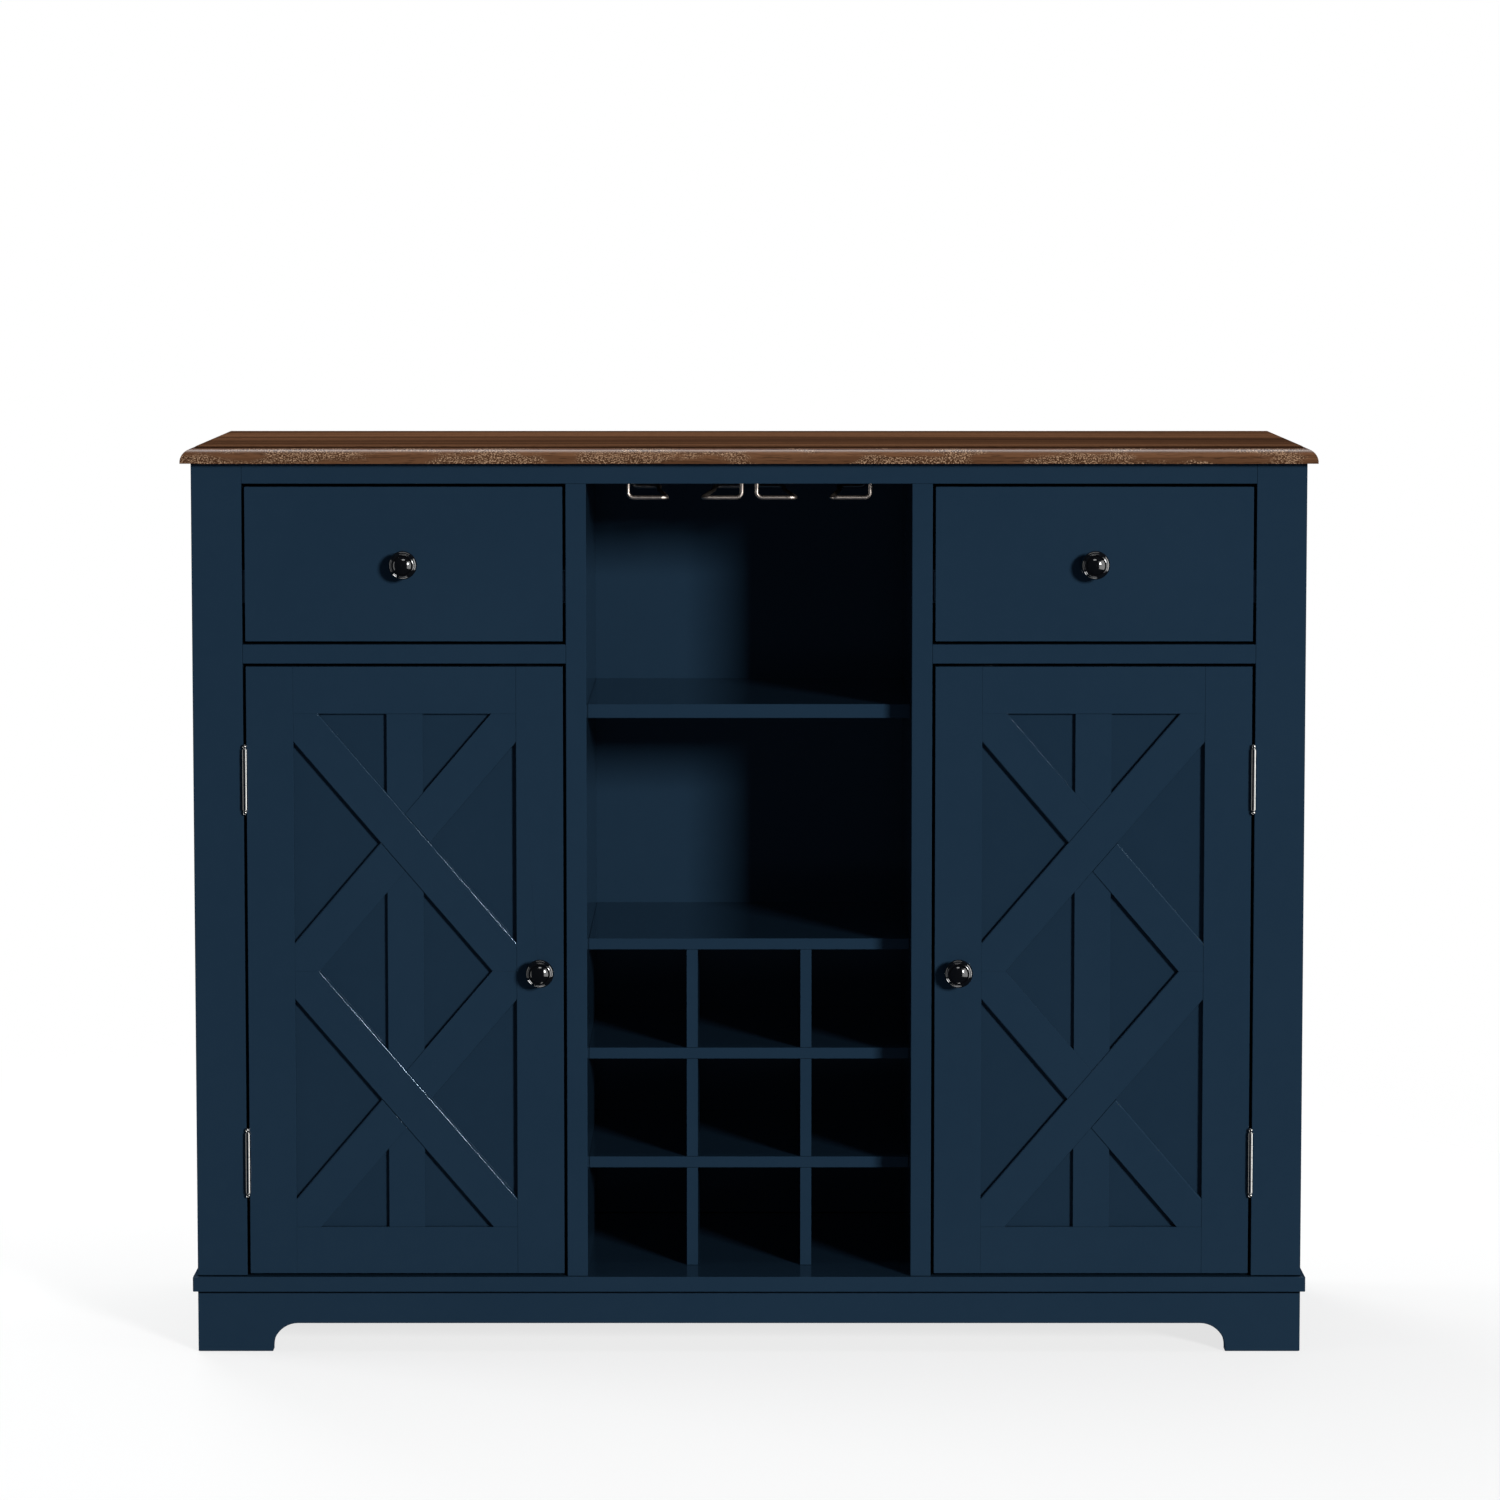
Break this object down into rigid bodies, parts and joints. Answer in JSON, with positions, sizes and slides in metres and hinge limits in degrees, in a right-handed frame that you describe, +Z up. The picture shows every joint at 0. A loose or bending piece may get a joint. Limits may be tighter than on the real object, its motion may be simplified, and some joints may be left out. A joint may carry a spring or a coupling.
{
  "type": "wine cabinet",
  "caption": "Painted farmhouse wine cabinet with a moulded wooden top, X-braced doors below drawers, and an open bay with stemware wires, a shelf and a bottle rack.",
  "frame": {"origin": "on the floor, midway between the sides, and midway between the front of the knobs and the back", "axes": "+X to the right of someone facing the cabinet, +Y to its back, +Z up"},
  "size_m": [1.2, 0.412, 0.97],
  "materials": {
    "navy_paint": "satin paint on board",
    "walnut_top": "satin dark walnut",
    "gloss_black": "gloss black enamel",
    "nickel": "polished dark nickel",
    "bronze_wire": "dark bronze coating",
    "zinc_steel": "zinc plated",
    "catch_plastic": "moulded",
    "bare_board": "thin fibreboard, painted on the inner face"
  },
  "bodies": {
    "cabinet": {"top_panel": "walnut_top", "top_rail": "navy_paint", "rear_top_rails": "navy_paint", "bottom_panel": "navy_paint", "front_skirt": "navy_paint", "side_skirts": "navy_paint", "base_rails": "navy_paint", "left_side_panel": "navy_paint", "right_side_panel": "navy_paint", "left_partition": "navy_paint", "right_partition": "navy_paint", "outer_stiles": "navy_paint", "centre_back_panel": "bare_board", "cupboard_back_panels": "bare_board", "drawer_decks": "navy_paint", "runner_battens": "navy_paint", "centre_shelf": "navy_paint", "rack_top_board": "navy_paint", "rack_shelves": "navy_paint", "rack_slats": "navy_paint", "cupboard_shelves": "navy_paint", "shelf_pins": "zinc_steel", "left_stemware_rack": "bronze_wire", "right_stemware_rack": "bronze_wire", "stemware_screws": "zinc_steel", "hinge_frame_leaves": "nickel", "hinge_pins": "nickel", "hinge_frame_screws": "zinc_steel", "door_catches": "catch_plastic", "slide_cabinet_members": "zinc_steel"},
    "left_door": {"left_door_frame": "navy_paint", "left_door_panel": "navy_paint", "left_door_braces": "navy_paint", "left_door_mullion": "navy_paint", "left_door_knob": "gloss_black", "left_door_hinge_leaves": "nickel", "left_door_strike": "zinc_steel", "left_door_screws": "zinc_steel"},
    "left_drawer": {"left_drawer_front": "navy_paint", "left_drawer_walls": "navy_paint", "left_drawer_bottom": "bare_board", "left_drawer_knob": "gloss_black", "left_drawer_knob_screw": "zinc_steel", "left_slide_drawer_members": "zinc_steel"},
    "left_slide_middle": {"left_slide_middle_members": "zinc_steel"},
    "right_door": {"right_door_frame": "navy_paint", "right_door_panel": "navy_paint", "right_door_braces": "navy_paint", "right_door_mullion": "navy_paint", "right_door_knob": "gloss_black", "right_door_hinge_leaves": "nickel", "right_door_strike": "zinc_steel", "right_door_screws": "zinc_steel"},
    "right_drawer": {"right_drawer_front": "navy_paint", "right_drawer_walls": "navy_paint", "right_drawer_bottom": "bare_board", "right_drawer_knob": "gloss_black", "right_drawer_knob_screw": "zinc_steel", "right_slide_drawer_members": "zinc_steel"},
    "right_slide_middle": {"right_slide_middle_members": "zinc_steel"}
  },
  "joints": [
    {"name": "left_door_hinge", "type": "hinge", "parent": "cabinet", "child": "left_door", "pos_m": [-0.5352, -0.18225, 0.41025], "axis": [0, 0, -1], "range_deg": [0, 170]},
    {"name": "right_door_hinge", "type": "hinge", "parent": "cabinet", "child": "right_door", "pos_m": [0.5352, -0.18225, 0.41025], "axis": [0, 0, 1], "range_deg": [0, 170]},
    {"name": "left_drawer_slide", "type": "slide", "parent": "cabinet", "child": "left_drawer", "axis": [0, -1, 0], "range_m": [0, 0.28]},
    {"name": "right_drawer_slide", "type": "slide", "parent": "cabinet", "child": "right_drawer", "axis": [0, -1, 0], "range_m": [0, 0.28]},
    {"name": "left_slide_extension", "type": "slide", "parent": "cabinet", "child": "left_slide_middle", "axis": [0, -1, 0], "range_m": [0, 0.14]},
    {"name": "right_slide_extension", "type": "slide", "parent": "cabinet", "child": "right_slide_middle", "axis": [0, -1, 0], "range_m": [0, 0.14]}
  ],
  "couplings": [
    {"joint": "left_slide_extension", "follows": "left_drawer_slide", "ratio": 0.5},
    {"joint": "right_slide_extension", "follows": "right_drawer_slide", "ratio": 0.5}
  ]
}
